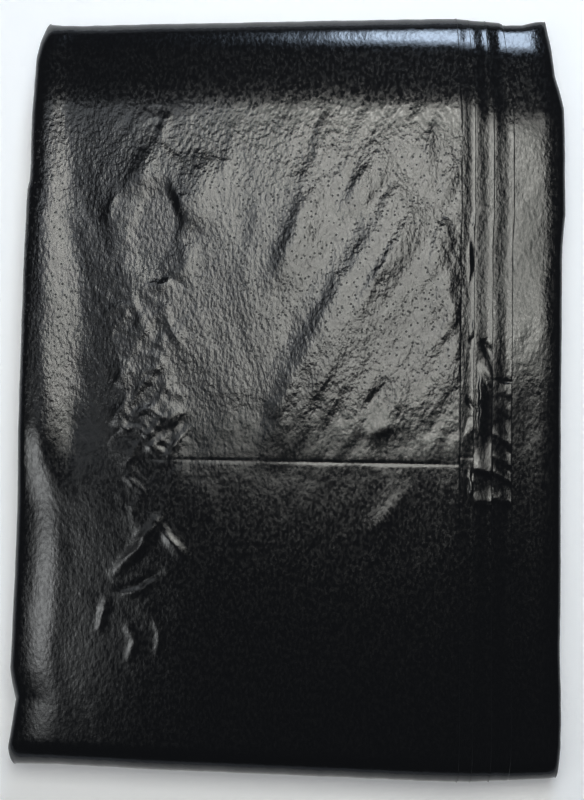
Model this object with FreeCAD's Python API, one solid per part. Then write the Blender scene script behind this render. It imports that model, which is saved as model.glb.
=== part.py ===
"""A folded bundle of four refuse sacks, in millimetres.

Each sack is a flattened tube of black film, closed along both long sides, sealed at one end and
open at the other. The four sacks lie on each other and are folded together twice:
first across their width in three, with a right-hand panel and then a left-hand panel turned in,
and then along their length in three, with one flap and then the other turned under.

+X runs across the bundle towards the stepped side edges, +Y along it towards the first of the two
lengthwise folds, +Z up. The origin is the centre of the bundle's underside.
"""

import FreeCAD
import Part

import math
import os

from FreeCAD import Vector

# The folded bundle.
BUNDLE_WIDTH = 267.0
BUNDLE_LENGTH = 372.0

# A sack pressed flat is two plies of film and the air between them.
SACK_THICKNESS = 0.60
SACK_GAP = 0.15
FLAP_GAP = 0.30

# The side edges that show: the outermost sack's, from the right-hand fold, and how much further
# out each sack below it reaches.
FIRST_EDGE_INSET = 49.0
SECOND_EDGE_STEP = 6.4
THIRD_EDGE_STEP = 9.1
FOURTH_EDGE_STEP = 9.6

# The outermost sack's other side edge is tucked inside, this far from the left-hand fold.
TUCKED_EDGE_INSET = 58.5

# How far each lengthwise flap's ends stop short of the opposite fold, at mid-height.
FIRST_FLAP_INSET = 38.0
LAST_FLAP_INSET = 38.0

# The mark left by an earlier fold at half length, on each sack, from the bundle's middle.
FIRST_CREASE_Y = -30.0
SECOND_CREASE_Y = -27.5
THIRD_CREASE_Y = -50.0
FOURTH_CREASE_Y = 7.5
CREASE_WIDTH = 1.6
CREASE_DEPTH = 0.20

# The open mouth, where the two plies part.
MOUTH_GAP = 0.20
MOUTH_DEPTH = 30.0
PLY_EDGE = 4.0

# The welded bottom: a line pressed into both faces.
WELD_INSET = 9.0
WELD_WIDTH = 2.0
WELD_DEPTH = 0.12

# A side fold goes round in this many flats.
FOLD_FLATS = 4

EDGE_STEPS = (SECOND_EDGE_STEP, THIRD_EDGE_STEP, FOURTH_EDGE_STEP)
CREASE_PLACES = (FIRST_CREASE_Y, SECOND_CREASE_Y, THIRD_CREASE_Y, FOURTH_CREASE_Y)
SACK_COUNT = 1 + len(EDGE_STEPS)
PANELS_ACROSS = 3

HALF_SACK = SACK_THICKNESS / 2
PITCH = SACK_THICKNESS + SACK_GAP
STACK_HEIGHT = PANELS_ACROSS * SACK_COUNT * PITCH - SACK_GAP

# A cut runs on past the bundle by a stack's height.
PAST_BUNDLE = STACK_HEIGHT

# Each layer of a folded stack is shorter or longer by pi times its distance from the fold, so
# the flush ends of the stack become a slope.
END_SLOPE = math.pi

# The three lengthwise panels, from the floor up: the last flap, the first flap and the top panel.
LAST_FLAP_TOP = STACK_HEIGHT
FIRST_FLAP_FLOOR = STACK_HEIGHT + FLAP_GAP
FIRST_FLAP_TOP = FIRST_FLAP_FLOOR + STACK_HEIGHT
TOP_PANEL_FLOOR = FIRST_FLAP_TOP + FLAP_GAP
TOP_PANEL_TOP = TOP_PANEL_FLOOR + STACK_HEIGHT

FIRST_FOLD_RADIUS = FLAP_GAP / 2
LAST_FOLD_RADIUS = (TOP_PANEL_FLOOR - LAST_FLAP_TOP) / 2
FIRST_FOLD_Z = FIRST_FLAP_TOP + FIRST_FOLD_RADIUS
LAST_FOLD_Z = LAST_FLAP_TOP + LAST_FOLD_RADIUS
FIRST_FOLD_Y = BUNDLE_LENGTH / 2 - FIRST_FOLD_RADIUS - STACK_HEIGHT
LAST_FOLD_Y = -BUNDLE_LENGTH / 2 + LAST_FOLD_RADIUS + STACK_HEIGHT
TOP_PANEL_RUN = FIRST_FOLD_Y - LAST_FOLD_Y

# How far the flaps reach from their folds, for a layer on the inner side of the stack.
LONGER_AT_FOLD = END_SLOPE * STACK_HEIGHT / 2
FIRST_FLAP_RUN = FIRST_FOLD_Y + BUNDLE_LENGTH / 2 - FIRST_FLAP_INSET + LONGER_AT_FOLD
LAST_FLAP_RUN = BUNDLE_LENGTH / 2 - LAST_FLAP_INSET - LAST_FOLD_Y + LONGER_AT_FOLD

# The unfolded sack that the folded sizes come from, the same for all four.
SACK_LENGTH = (
    TOP_PANEL_RUN
    + math.pi * (FIRST_FOLD_RADIUS + LAST_FOLD_RADIUS)
    + FIRST_FLAP_RUN
    + LAST_FLAP_RUN
)


def across(number):
    """The places in the widthwise fold of one sack, numbered from 0 at the outermost."""
    places = fold_places(number)
    places["tucked_edge"] = places["right"] - (SACK_WIDTH - places["taken"])
    return places


def fold_places(number):
    """As across, without the tucked edge, and with the width that the rest of the sack takes."""
    step = number * PITCH
    layers = PANELS_ACROSS * SACK_COUNT
    under = step + HALF_SACK
    inner = (2 * SACK_COUNT - 1) * PITCH - step + HALF_SACK
    over = (layers - 1) * PITCH - step + HALF_SACK
    left_radius = (over - under) / 2
    right_radius = (inner - under) / 2
    left = -BUNDLE_WIDTH / 2 + (layers - 1) * PITCH / 2 + HALF_SACK
    right = BUNDLE_WIDTH / 2 - (2 * SACK_COUNT - 1) * PITCH / 2 - HALF_SACK
    edge = BUNDLE_WIDTH / 2 - FIRST_EDGE_INSET + sum(EDGE_STEPS[:number])
    taken = (edge - left) + math.pi * left_radius + (right - left) + math.pi * right_radius
    return {
        "under": under,
        "inner": inner,
        "over": over,
        "left": left,
        "right": right,
        "left_radius": left_radius,
        "right_radius": right_radius,
        "edge": edge,
        "taken": taken,
    }


def sack_width():
    """The unfolded width, from the places of the outermost sack's two side edges."""
    places = fold_places(0)
    return places["taken"] + places["right"] - (TUCKED_EDGE_INSET - BUNDLE_WIDTH / 2)


SACK_WIDTH = sack_width()


def round_fold(x, z, radius, start):
    """Points round a side fold: half a turn from the angle start, in radians from +X to +Z."""
    points = []
    for i in range(FOLD_FLATS + 1):
        turn = start + math.pi * i / FOLD_FLATS
        points.append(Vector(x + radius * math.cos(turn), 0.0, z + radius * math.sin(turn)))
    return points


def folded_line(number, offset, edge_inset):
    """The line that a sack's section follows, in the plane Y = 0 with the stack's inner face at
    Z = 0, from the side edge that shows to the tucked one. It runs offset outside the sack's
    middle, and stops edge_inset short of both edges."""
    places = across(number)
    left, right = places["left"], places["right"]
    under, inner, over = places["under"], places["inner"], places["over"]
    left_radius = places["left_radius"] + offset
    right_radius = places["right_radius"] + offset
    return (
        [Vector(places["edge"] - edge_inset, 0.0, over + offset)]
        + round_fold(left, (over + under) / 2, left_radius, math.pi / 2)
        + round_fold(right, (inner + under) / 2, right_radius, -math.pi / 2)
        + [Vector(places["tucked_edge"] + edge_inset, 0.0, inner + offset)]
    )


def folded_strip(number, half, edge_inset=0.0):
    """A sack's section folded in three: a strip that reaches half to each side of its middle."""
    outside = folded_line(number, half, edge_inset)
    inside = folded_line(number, -half, edge_inset)
    return Part.Face(Part.makePolygon(outside + inside[::-1] + outside[:1]))


def placed_on_top(face):
    """The section where the top panel meets the first fold."""
    moved = face.copy()
    moved.translate(Vector(0, FIRST_FOLD_Y, TOP_PANEL_FLOOR))
    return moved


def turned(face, y, z, degrees):
    """The section carried round a lengthwise fold's axis, which lies along X."""
    moved = face.copy()
    moved.rotate(Vector(0, y, z), Vector(1, 0, 0), degrees)
    return moved


def first_flap(face, run):
    """What lies beyond the first fold: the section turned under and drawn out by run."""
    return turned(placed_on_top(face), FIRST_FOLD_Y, FIRST_FOLD_Z, -180).extrude(Vector(0, -run, 0))


def last_flap(face, start, end):
    """What lies beyond the last fold, from start to end along the flap."""
    at_fold = placed_on_top(face)
    at_fold.translate(Vector(0, -TOP_PANEL_RUN, 0))
    under = turned(at_fold, LAST_FOLD_Y, LAST_FOLD_Z, 180)
    under.translate(Vector(0, start, 0))
    return under.extrude(Vector(0, end - start, 0))


def sloped_block(floor, top_y, direction, length):
    """A block as wide as the bundle, whose near face slopes as a folded stack's ends do. It
    starts at top_y at the height floor plus the stack's, and runs on for length."""
    low = floor - PAST_BUNDLE
    high = floor + STACK_HEIGHT + PAST_BUNDLE
    reach = BUNDLE_WIDTH / 2 + PAST_BUNDLE
    low_y = top_y - direction * END_SLOPE * (STACK_HEIGHT + PAST_BUNDLE)
    high_y = top_y + direction * END_SLOPE * PAST_BUNDLE
    corners = [
        Vector(-reach, low_y, low),
        Vector(-reach, high_y, high),
        Vector(-reach, high_y + direction * length, high),
        Vector(-reach, low_y + direction * length, low),
    ]
    outline = Part.makePolygon(corners + corners[:1])
    return Part.Face(outline).extrude(Vector(2 * reach, 0, 0))


def beyond_first_flap(inset=0.0, length=None):
    """The space past the first flap's ends, or a slab of it that starts inset before them."""
    long = length or 2 * END_SLOPE * (STACK_HEIGHT + PAST_BUNDLE)
    return sloped_block(FIRST_FLAP_FLOOR, FIRST_FOLD_Y - FIRST_FLAP_RUN + inset, -1, long)


def beyond_last_flap():
    """The space past the last flap's open ends."""
    long = 2 * END_SLOPE * (STACK_HEIGHT + PAST_BUNDLE)
    return sloped_block(0.0, LAST_FOLD_Y + LAST_FLAP_RUN, 1, long)


def folded_sack(number):
    """The sack as it lies in the bundle, before its mouth, crease and weld are cut."""
    section = folded_strip(number, HALF_SACK)
    start = placed_on_top(section)
    end = start.copy()
    end.translate(Vector(0, -TOP_PANEL_RUN, 0))
    along_x = Vector(1, 0, 0)
    pieces = [
        start.revolve(Vector(0, FIRST_FOLD_Y, FIRST_FOLD_Z), along_x, -180),
        first_flap(section, FIRST_FLAP_RUN).cut(beyond_first_flap()),
        end.revolve(Vector(0, LAST_FOLD_Y, LAST_FOLD_Z), along_x, 180),
        last_flap(section, 0.0, LAST_FLAP_RUN).cut(beyond_last_flap()),
    ]
    top = start.extrude(Vector(0, -TOP_PANEL_RUN, 0))
    return top.multiFuse(pieces).removeSplitter()


def mouth(number):
    """The space between the two plies at the sack's open end."""
    section = folded_strip(number, MOUTH_GAP / 2, PLY_EDGE)
    deepest = LAST_FLAP_RUN - END_SLOPE * STACK_HEIGHT - MOUTH_DEPTH
    return last_flap(section, deepest, LAST_FLAP_RUN + PAST_BUNDLE)


def weld(number):
    """The line pressed round the sack near its sealed end."""
    around = folded_strip(number, HALF_SACK + SACK_GAP / 4, -SACK_GAP / 4)
    core = folded_strip(number, HALF_SACK - WELD_DEPTH, WELD_DEPTH)
    sleeve = first_flap(around, FIRST_FLAP_RUN).cut(first_flap(core, FIRST_FLAP_RUN))
    return sleeve.common(beyond_first_flap(WELD_INSET + WELD_WIDTH, WELD_WIDTH))


def crease(number):
    """The shallow valley of the earlier fold, across the sack's uppermost panel."""
    places = across(number)
    surface = TOP_PANEL_FLOOR + places["over"] + HALF_SACK
    y = CREASE_PLACES[number]
    flare = (CREASE_DEPTH + SACK_GAP / 2) / CREASE_DEPTH
    half = CREASE_WIDTH / 2 * flare
    start = places["left"]
    corners = [
        Vector(start, y, surface - CREASE_DEPTH),
        Vector(start, y - half, surface + SACK_GAP / 2),
        Vector(start, y + half, surface + SACK_GAP / 2),
    ]
    outline = Part.makePolygon(corners + corners[:1])
    return Part.Face(outline).extrude(Vector(places["edge"] - start + PAST_BUNDLE, 0, 0))


def sack(number):
    return folded_sack(number).cut([mouth(number), weld(number), crease(number)])


def main():
    os.makedirs("parts", exist_ok=True)
    for number in range(SACK_COUNT):
        shape = sack(number)
        shape.exportStep(f"parts/sack_{number + 1}.step")
        box = shape.optimalBoundingBox()
        print(
            f"sack_{number + 1}: {len(shape.Solids)} solid, valid {shape.isValid()}, "
            f"{shape.Volume / 1000:.1f} cm3, {len(shape.Faces)} faces, "
            f"{box.XLength:.1f} x {box.YLength:.1f} x {box.ZLength:.2f} mm, "
            f"floor {box.ZMin:.3f}, tucked edge at {across(number)['tucked_edge']:.1f}"
        )
    print(
        f"stack {STACK_HEIGHT:.2f} high, bundle {TOP_PANEL_TOP:.2f} high, "
        f"unfolded sack {SACK_WIDTH:.0f} x {SACK_LENGTH:.0f} mm"
    )


main()
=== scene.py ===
import math

import bpy
import numpy as np
from mathutils import Matrix, Vector


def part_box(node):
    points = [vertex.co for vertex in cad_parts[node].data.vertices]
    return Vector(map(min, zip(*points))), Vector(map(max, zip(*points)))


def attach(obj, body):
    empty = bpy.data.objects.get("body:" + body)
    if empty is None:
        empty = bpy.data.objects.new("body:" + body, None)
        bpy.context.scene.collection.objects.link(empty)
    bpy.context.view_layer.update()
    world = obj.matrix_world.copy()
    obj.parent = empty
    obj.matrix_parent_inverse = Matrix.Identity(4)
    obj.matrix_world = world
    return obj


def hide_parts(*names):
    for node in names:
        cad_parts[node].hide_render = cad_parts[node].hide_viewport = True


# A folded bundle of four refuse sacks of glossy black film. Lengths are in millimetres, and the
# finished meshes in metres. A sack is one closed shell: its film follows the fold across the width
# (x, h) and then the fold along the length (y, z), as the solids do.

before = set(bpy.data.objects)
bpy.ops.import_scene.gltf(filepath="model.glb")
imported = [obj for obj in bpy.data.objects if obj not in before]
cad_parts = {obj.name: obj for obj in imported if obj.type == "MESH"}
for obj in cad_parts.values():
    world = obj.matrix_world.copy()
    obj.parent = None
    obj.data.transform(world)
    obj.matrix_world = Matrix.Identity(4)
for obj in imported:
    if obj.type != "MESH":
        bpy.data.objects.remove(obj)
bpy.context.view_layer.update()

MM = 0.001
SACK_COUNT = 4
PANELS = 3


def node_name(number):
    return f"sack_{number + 1}"


def node_size(number, axis):
    low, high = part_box(node_name(number))
    return (high[axis] - low[axis]) / MM


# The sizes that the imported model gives.
WIDTH = node_size(0, 0)
LENGTH = node_size(0, 1)
HEIGHT = node_size(0, 2)
PITCH = (WIDTH - node_size(1, 0)) / 2
SACK_GAP = 0.15
HALF = (PITCH - SACK_GAP) / 2
STACK = PANELS * SACK_COUNT * PITCH - SACK_GAP
FLAP_GAP = (HEIGHT - PANELS * STACK) / 2

# The places of the side edges, the flaps' ends, the welds and the mouths.
FIRST_EDGE_INSET = 49.0
EDGE_STEPS = (6.4, 9.1, 9.6)
TUCKED_EDGES = (-75.0, -73.3, -68.9, -64.0)
FLAP_INSET = 38.0
MOUTH_GAP = 0.20
MOUTH_DEPTH = 30.0
PLY_EDGE = 4.0
WELD_INSET = 9.0
WELD_WIDTH = 2.0
WELD_DEPTH = 0.12

# The lengthwise panels, as in the solids.
FIRST_FLAP_TOP = 2 * STACK + FLAP_GAP
TOP_FLOOR = FIRST_FLAP_TOP + FLAP_GAP
FIRST_RADIUS = FLAP_GAP / 2
LAST_RADIUS = (TOP_FLOOR - STACK) / 2
FIRST_FOLD_Z = FIRST_FLAP_TOP + FIRST_RADIUS
LAST_FOLD_Z = STACK + LAST_RADIUS
FIRST_FOLD_Y = LENGTH / 2 - FIRST_RADIUS - STACK
LAST_FOLD_Y = -LENGTH / 2 + LAST_RADIUS + STACK
LONGER = math.pi * STACK / 2
FIRST_RUN = FIRST_FOLD_Y + LENGTH / 2 - FLAP_INSET + LONGER
LAST_RUN = LENGTH / 2 - FLAP_INSET - LAST_FOLD_Y + LONGER
LEFT = -WIDTH / 2 + (PANELS * SACK_COUNT - 1) * PITCH / 2 + HALF
RIGHT = WIDTH / 2 - (2 * SACK_COUNT - 1) * PITCH / 2 - HALF


def shown_edge(number):
    return WIDTH / 2 - FIRST_EDGE_INSET + sum(EDGE_STEPS[:number])


# The camera
CAMERA_AT = (38.0, -46.4, 700.0)
CAMERA_TO = (1.0, -3.4, 13.0)
CAMERA_ROLL = 1.2
LENS = 62.9
SENSOR = 36.0
FRAME_WIDE = 584
FRAME_HIGH = 800


def camera_turn():
    """The camera's right, up and backward directions as columns, before its position."""
    look = (Vector(CAMERA_TO) - Vector(CAMERA_AT)).normalized()
    right = look.cross(Vector((0.0, 1.0, 0.0))).normalized()
    up = right.cross(look)
    turn = Matrix((right, up, -look)).transposed()
    return turn @ Matrix.Rotation(math.radians(CAMERA_ROLL), 3, "Z")


def make_camera():
    data = bpy.data.cameras.new("camera")
    data.lens = LENS
    data.sensor_width = SENSOR
    data.clip_start = 0.05
    data.clip_end = 20.0
    camera = bpy.data.objects.new("camera", data)
    bpy.context.scene.collection.objects.link(camera)
    camera.matrix_world = Matrix.Translation(Vector(CAMERA_AT) * MM) @ camera_turn().to_4x4()
    bpy.context.scene.camera = camera
    return camera


make_camera()
TURN = np.array(camera_turn())


def on_plane(px, py, z):
    """Where the photograph's pixel lies on the level plane z, in millimetres."""
    focal = LENS / SENSOR * FRAME_HIGH
    px = np.asarray(px, float)
    py = np.asarray(py, float)
    ray = np.stack([(px - FRAME_WIDE / 2) / focal, (FRAME_HIGH / 2 - py) / focal, -np.ones_like(px)])
    way = TURN @ ray
    reach = (z - CAMERA_AT[2]) / way[2]
    return CAMERA_AT[0] + way[0] * reach, CAMERA_AT[1] + way[1] * reach


# The old half-length folds: the pixel where each sack's one crosses its middle.
CREASE_PIXELS = ((300, 463.0), (473, 459.0), (488, 505.0), (508, 382.5))
CREASES_Y = [float(on_plane(px, py, HEIGHT)[1]) for px, py in CREASE_PIXELS]


# The outline and the broad relief

# The bundle's outline in the photograph: x at each y for the long sides, y at each x for the ends.
LEFT_SIDE = ((24, 47), (44, 40), (60, 36), (92, 34), (116, 32), (160, 31), (180, 30), (188, 28),
             (250, 25), (310, 23), (400, 20), (460, 18), (520, 16), (580, 14), (640, 11), (668, 9.5),
             (684, 12), (698, 15.5), (712, 13), (726, 10.5), (745, 7.5), (756, 9), (770, 12))
RIGHT_SIDE = ((24, 547), (44, 550), (60, 553), (84, 556), (100, 561), (116, 565), (166, 566),
              (220, 566), (250, 563), (400, 562), (560, 562), (640, 561), (700, 562), (745, 562),
              (760, 560), (778, 558))
TOP_END = ((28, 23), (36, 25), (50, 27), (110, 26), (210, 24), (310, 22), (410, 20), (460, 19.5),
           (478, 20), (486, 21), (514, 22), (520, 25), (540, 25), (548, 23), (556, 21), (566, 20))
BOTTOM_END = ((10, 764), (50, 764), (110, 767), (160, 770), (210, 772), (310, 776), (410, 780.5),
              (460, 782), (482, 782), (518, 781), (554, 779.5), (566, 778))
SIDE_Z = 22.0
TOP_END_Z = 13.5
BOTTOM_END_Z = 15.0
END_SAMPLES = 535


def side_shift(points, side):
    """How far a long side moves out of line, as a table of y and shift."""
    py, px = np.array(points, float).T
    x, y = on_plane(px, py, SIDE_Z)
    order = np.argsort(y)
    return y[order], (x - side * WIDTH / 2)[order]


def rounded(past, radius):
    """How far a round corner falls back, that far past its start."""
    return radius * (1 - np.sqrt(1 - np.clip(past / radius, 0, 1) ** 2))


def set_back(x):
    """How much shorter the bundle is at x than at its longest: the nested sacks and the corners."""
    edges = [shown_edge(number) for number in range(SACK_COUNT)]
    last_step = (PANELS * SACK_COUNT - 2 * SACK_COUNT) * PITCH
    steps = PITCH * sum((x > edge).astype(float) for edge in edges[:-1])
    steps = np.where(x > edges[-1], last_step, steps)
    left_round = STACK / 2
    right_round = (STACK - last_step) / 2
    return steps + (rounded(LEFT - x, left_round) + rounded(x - RIGHT, right_round))


def end_shift(points, end, z):
    px, py = np.array(points, float).T
    x, y = on_plane(px, py, z)
    order = np.argsort(x)
    every = np.linspace(-WIDTH / 2, WIDTH / 2, END_SAMPLES)
    target = np.interp(every, x[order], y[order])
    return every, target - end * (LENGTH / 2 - set_back(every))


LEFT_SHIFT = side_shift(LEFT_SIDE, -1)
RIGHT_SHIFT = side_shift(RIGHT_SIDE, 1)
TOP_SHIFT = end_shift(TOP_END, 1, TOP_END_Z)
BOTTOM_SHIFT = end_shift(BOTTOM_END, -1, BOTTOM_END_Z)

# A side's own wobbles fade out over this much of the way to the other side.
LOCAL = 6


def spread(table, place, near):
    """A side's shift at a place along it: its straight trend spread over the whole bundle, and
    its wobbles kept near it. near is 1 at the side and 0 at the opposite one."""
    along, shift = table
    slope, start = np.polyfit(along, shift, 1)
    trend = start + slope * place
    wobble = np.interp(place, along, shift) - trend
    return trend * near + wobble * near**LOCAL


def warped(x, y, z):
    """Moves points of the straight bundle to the real one's outline and broad relief."""
    to_right = np.clip(0.5 + x / WIDTH, 0, 1)
    to_top = np.clip(0.5 + y / LENGTH, 0, 1)
    new_x = x + spread(LEFT_SHIFT, y, 1 - to_right) + spread(RIGHT_SHIFT, y, to_right)
    new_y = y + spread(BOTTOM_SHIFT, x, 1 - to_top) + spread(TOP_SHIFT, x, to_top)
    return new_x, new_y, z + broad(new_x, new_y, x) * z / HEIGHT


def smooth(value, low, high):
    t = np.clip((value - low) / (high - low), 0, 1)
    return t * t * (3 - 2 * t)


def noise(seed, x, y, size, size_y=None):
    """Smooth noise from -1 to 1 whose cells are that many millimetres."""
    cells = 64
    values = np.random.default_rng(seed).uniform(-1, 1, (cells, cells))
    u = x / size
    v = y / (size_y or size)
    i = np.floor(u).astype(int)
    j = np.floor(v).astype(int)
    s = u - i
    t = v - j
    s = s * s * s * (s * (6 * s - 15) + 10)
    t = t * t * t * (t * (6 * t - 15) + 10)
    low = values[i % cells, j % cells] * (1 - s) + values[(i + 1) % cells, j % cells] * s
    high = values[i % cells, (j + 1) % cells] * (1 - s) + values[(i + 1) % cells, (j + 1) % cells] * s
    return low * (1 - t) + high * t


def layered(x, y, layers, weight=1.0):
    """A sum of noises, each given by its height, its seed and the size of its cells."""
    return sum(weight * height * noise(seed, x, y, *cells) for height, seed, *cells in layers)


# A bared strip's fall, the share of its width where it turns, and its lift after that.
STRIP_SLOPE = 0.076
STRIP_TURN = 0.76
STRIP_LIFT = 0.06
STRIP_OVERLAP = 0.4

# The long hollow beside the left fold: how far in from the left side each slope lies, in mm.
HOLLOW_START = 7.0
HOLLOW_FLOOR = 25.0
HOLLOW_END = 54.0
HOLLOW_FALL = 2.3
HOLLOW_Y = (-60.0, 0.0, 45.0, 95.0, 130.0, 170.0)
HOLLOW_REACH = (1.16, 1.26, 1.24, 0.98, 0.80, 0.72)
HOLLOW_RISE = 0.85
HOLLOW_LOST = 0.92
HOLLOW_FADE = (16.0, 56.0)

# How far in from a long side it starts to round off, and how sharply. The left side bends more
# sharply far up and low down, from and to these distances from the middle.
LEFT_ROUND = 19.0
LEFT_BEND = 0.0058
LEFT_FAR = (60.0, 120.0)
LEFT_FAR_BEND = 0.7
LEFT_NEAR = (20.0, 65.0)
LEFT_NEAR_BEND = 0.8
LEFT_NEAR_ROUND = 5.0
RIGHT_ROUND = 11.5
RIGHT_BEND = 0.020

# Towards the right side the near half lies lower, over these x and these distances downwards.
RIGHT_SINKS = 1.5
RIGHT_SINK_X = (86.0, 118.0)
RIGHT_SINK_DOWN = (-35.0, 25.0)

# The panel bends down towards the first fold from here on.
SHOULDER_Y = 138.0
SHOULDER_BEND = 16.0
SHOULDER_SLOPE = 0.075
END_Y = 168.0
END_BEND = 8.5
END_SLOPE = 0.24

# Both bends start earlier towards the right, by these distances over these x.
END_EARLIER = 2.5
END_EARLIER_X = (70.0, 105.0)
SHOULDER_EASES = 2.5
SHOULDER_EASES_X = (10.0, 60.0)
SHOULDER_EARLIER = 10.0
SHOULDER_EARLIER_X = (87.0, 102.0)

# The unevenness that all the layers share: heights, seeds and cells. The far end is calm.
SHARED_NOISE = ((0.16, 3, 46, 60), (0.08, 4, 22, 34))
SHARED_CALM = (110.0, 140.0)


def strip_relief(x):
    """Each bared strip falls away from the edge above it and lifts again at its own edge."""
    relief = np.zeros_like(x)
    edges = [shown_edge(number) for number in range(SACK_COUNT)]
    for start, end in zip(edges, edges[1:]):
        turn = start + STRIP_TURN * (end - start)
        relief -= STRIP_SLOPE * (turn - start) * smooth(x, start - STRIP_OVERLAP, turn)
        relief += STRIP_LIFT * smooth(x, turn, end)
    return relief


def left_relief(x, y):
    """A round left edge, a steep fall from its crest and a gentle rise to the flat middle."""
    inward = x - np.interp(y, *LEFT_SHIFT) + WIDTH / 2
    depth = 1 - HOLLOW_LOST * smooth(-y, *HOLLOW_FADE)
    reach = np.interp(y, HOLLOW_Y, HOLLOW_REACH)
    floor_at = HOLLOW_FLOOR * reach
    fall = smooth(inward, HOLLOW_START * reach, floor_at)
    rise = smooth(inward, floor_at, HOLLOW_END)
    hollow = depth * (HOLLOW_FALL * reach * (1 - fall) + HOLLOW_RISE * (rise - 1))
    near = smooth(-y, *LEFT_NEAR)
    bend = LEFT_BEND * (1 + LEFT_FAR_BEND * smooth(y, *LEFT_FAR) + LEFT_NEAR_BEND * near)
    return hollow - bend * np.clip(LEFT_ROUND + LEFT_NEAR_ROUND * near - inward, 0, None) ** 2 / 2


def right_relief(x, y):
    """The flat top rounds off before the right fold and lies lower there in the near half."""
    inward = WIDTH / 2 + np.interp(y, *RIGHT_SHIFT) - x
    sinks = RIGHT_SINKS * smooth(x, *RIGHT_SINK_X) * smooth(-y, *RIGHT_SINK_DOWN)
    return -RIGHT_BEND * np.clip(RIGHT_ROUND - inward, 0, None) ** 2 / 2 - sinks


def bend_down(y, start, length, slope):
    """A surface that bends down from the start on, to a slope that it keeps."""
    past = np.clip(y - start, 0, None)
    turning = np.minimum(past, length)
    return -slope * (turning**2 / (2 * length) + past - turning)


def shoulder_relief(x, y):
    """The two bends down towards the first fold."""
    shoulder_y = SHOULDER_Y - SHOULDER_EASES * smooth(x, *SHOULDER_EASES_X)
    shoulder_y = shoulder_y - SHOULDER_EARLIER * smooth(x, *SHOULDER_EARLIER_X)
    end_y = END_Y - END_EARLIER * smooth(x, *END_EARLIER_X)
    shoulder = bend_down(y, shoulder_y, SHOULDER_BEND, SHOULDER_SLOPE)
    return shoulder + bend_down(y, end_y, END_BEND, END_SLOPE)


def broad(x, y, straight_x):
    """The relief that all the layers share, on the warped x and y."""
    relief = left_relief(x, y) + right_relief(x, y) + shoulder_relief(x, y)
    relief += (1 - smooth(y, *SHARED_CALM)) * layered(x, y, SHARED_NOISE)
    return relief + strip_relief(straight_x)


# The film's own relief

# Folds of the crumpled film: a height in mm, a half width in mm on the left and one on the right,
# and the line of its crest in pixels. Below zero it is a groove.
MAIN_FOLDS = (
    (1.75, 7.2, 24.0, ((414, 178), (386, 222), (362, 256), (341, 294), (314, 340), (290, 388),
                       (270, 470))),
    (0.66, 3.1, 8.0, ((424, 196), (404, 232), (390, 258), (378, 278), (364, 306), (350, 330))),
    (0.24, 1.0, 2.0, ((388, 262), (380, 271), (373, 279))),
    (0.20, 1.0, 2.0, ((366, 300), (360, 309), (354, 317))),
    (0.55, 3.4, 8.0, ((384, 150), (366, 166), (354, 190), (346, 220))),
    (0.95, 5.0, 11.0, ((312, 166), (304, 200), (292, 240), (270, 296))),
    (0.60, 16.0, 12.0, ((316, 164), (304, 210), (284, 262), (258, 330))),
    (0.22, 1.7, 3.0, ((385, 166), (381, 180), (375, 192))),
    (0.22, 1.7, 3.0, ((372, 192), (360, 204))),
    (0.34, 1.3, 3.0, ((435, 118), (430, 138), (427, 156), (428, 174))),
    (0.40, 2.2, 4.0, ((441, 218), (438, 246), (431, 278))),
    (0.30, 2.0, 4.0, ((452, 150), (447, 176), (444, 205))),
    (0.16, 0.8, 1.5, ((366, 308), (386, 314), (408, 316))),
    (-0.36, 1.3, 1.6, ((362, 410), (374, 396), (389, 382))),
    (0.40, 6.0, 2.0, ((364, 440), (384, 432), (400, 424))),
    (0.30, 3.2, 6.0, ((414, 482), (388, 514), (360, 544))),
    (0.45, 2.2, 2.4, ((444, 218), (456, 250), (468, 284))),
    (-0.40, 1.6, 1.6, ((449, 226), (458, 252), (467, 278))),
    (0.85, 12.0, 4.6, ((456, 392), (452, 330), (446, 262), (440, 204))),
    (0.25, 1.5, 2.5, ((236, 120), (228, 150), (222, 186))),
    (0.22, 2.0, 5.0, ((262, 196), (250, 240), (240, 300))),
    (0.22, 2.0, 5.0, ((330, 110), (318, 140), (312, 176))),
)
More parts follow.
